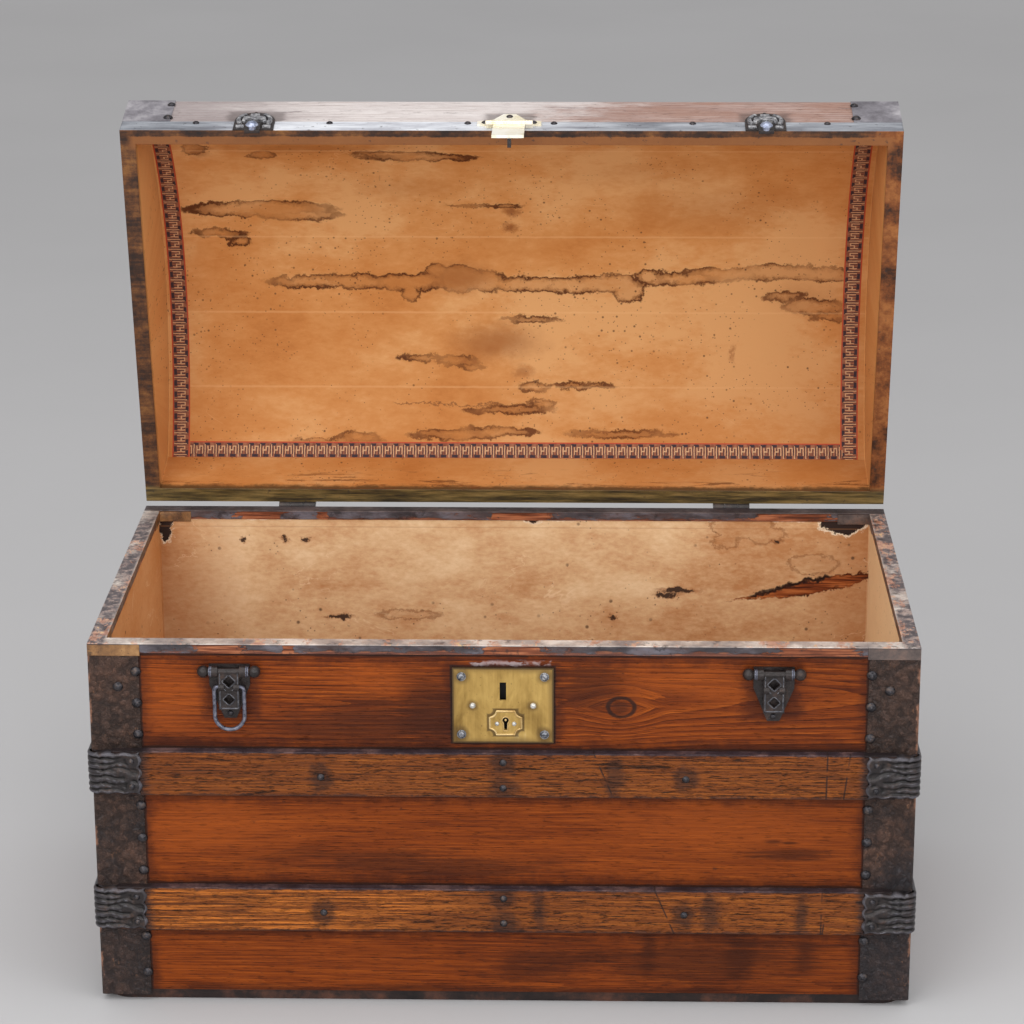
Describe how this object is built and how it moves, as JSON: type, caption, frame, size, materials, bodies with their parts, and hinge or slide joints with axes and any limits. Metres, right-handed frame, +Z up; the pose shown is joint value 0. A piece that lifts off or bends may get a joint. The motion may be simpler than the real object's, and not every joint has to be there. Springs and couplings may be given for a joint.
{
  "type": "dome top trunk",
  "caption": "antique dome top trunk, lid open: stained pine boards, oak slats with cast clamps, sheet metal corners, brass lock and hasp, side latches, papered inside",
  "frame": {"origin": "centre of the flat face that the trunk rests on", "axes": "+Z up, front towards -Y, +X to the right of someone facing the front"},
  "size_m": [0.8569, 0.6019, 0.8404],
  "materials": {
    "pine": "stained and worn, satin",
    "oak": "coarse grain, old varnish",
    "lining_paper": "matt, stained",
    "border_paper": "matt, printed key border",
    "bare_tin": "worn, dull",
    "dark_iron_sheet": "embossed, lacquer worn to brown",
    "cast_clamp": "fluted, dull",
    "steel_nails": "domed, worn bright",
    "lock_brass": "mottled, streaked",
    "lock_steel": "plain",
    "dark_castings": "worn on the edges",
    "hinge_iron": "dull black",
    "strap_leather": "dry, creased"
  },
  "bodies": {
    "base": {"bottom_band": "bare_tin", "floor_boards": "pine", "front_board_upper": "pine", "front_board_middle": "pine", "front_board_lower": "pine", "back_boards": "pine", "left_end_boards": "pine", "right_end_boards": "pine", "base_lining": "lining_paper", "rim_binding": "bare_tin", "rim_corner_caps": "bare_tin", "front_left_corner_plate": "dark_iron_sheet", "front_right_corner_plate": "dark_iron_sheet", "back_corner_plates": "dark_iron_sheet", "front_slat_upper": "oak", "front_slat_lower": "oak", "back_slats": "oak", "slat_clamps": "cast_clamp", "base_nails": "steel_nails", "lock_plate": "lock_brass", "lock_case": "lock_steel", "lock_spring": "lock_steel", "keyhole_escutcheon": "lock_brass", "lock_screws": "steel_nails", "lock_rivets": "steel_nails", "left_latch_plate": "dark_castings", "right_latch_plate": "dark_castings", "latch_rivets": "steel_nails", "handle_straps": "strap_leather", "handle_caps": "cast_clamp", "left_hinge_base_leaf": "hinge_iron", "right_hinge_base_leaf": "hinge_iron", "hinge_pins": "lock_steel"},
    "lock_bolt": {"lock_bolt": "lock_steel"},
    "left_latch": {"left_latch_lever": "dark_castings"},
    "left_bail": {"left_latch_bail": "lock_steel"},
    "right_latch": {"right_latch_lever": "dark_castings"},
    "lid": {"left_hinge_lid_leaf": "hinge_iron", "right_hinge_lid_leaf": "hinge_iron", "lid_front_board": "pine", "lid_back_board": "pine", "lid_left_end": "pine", "lid_right_end": "pine", "dome_staves": "pine", "lid_lining": "lining_paper", "lid_border": "border_paper", "lid_rim_band": "bare_tin", "lid_corner_plates": "bare_tin", "dome_end_bands": "bare_tin", "dome_slats": "oak", "dome_slat_clamps": "cast_clamp", "left_latch_catch": "dark_castings", "right_latch_catch": "dark_castings", "hasp_mount": "lock_brass", "hasp_pin": "lock_brass", "lid_nails": "steel_nails"},
    "hasp": {"hasp_flap": "lock_brass", "hasp_staple": "lock_brass"}
  },
  "joints": [
    {"name": "lid_hinge", "type": "hinge", "parent": "base", "child": "lid", "pos_m": [0, 0.226, 0.3852], "axis": [1, 0, 0], "range_deg": [0, 78]},
    {"name": "hasp_hinge", "type": "hinge", "parent": "lid", "child": "hasp", "pos_m": [-0.0016, 0.13975, 0.8304], "axis": [1, 0, 0], "range_deg": [-120, 12]},
    {"name": "left_latch_hinge", "type": "hinge", "parent": "base", "child": "left_latch", "pos_m": [-0.2681, -0.229, 0.359], "axis": [-1, 0, 0], "range_deg": [0, 150]},
    {"name": "left_bail_hinge", "type": "hinge", "parent": "left_latch", "child": "left_bail", "pos_m": [-0.2681, -0.2305, 0.3433], "axis": [1, 0, 0], "range_deg": [-150, 0]},
    {"name": "right_latch_hinge", "type": "hinge", "parent": "base", "child": "right_latch", "pos_m": [0.2649, -0.229, 0.359], "axis": [-1, 0, 0], "range_deg": [0, 150]},
    {"name": "bolt_slide", "type": "slide", "parent": "base", "child": "lock_bolt", "axis": [1, 0, 0], "range_m": [0, 0.008]}
  ]
}
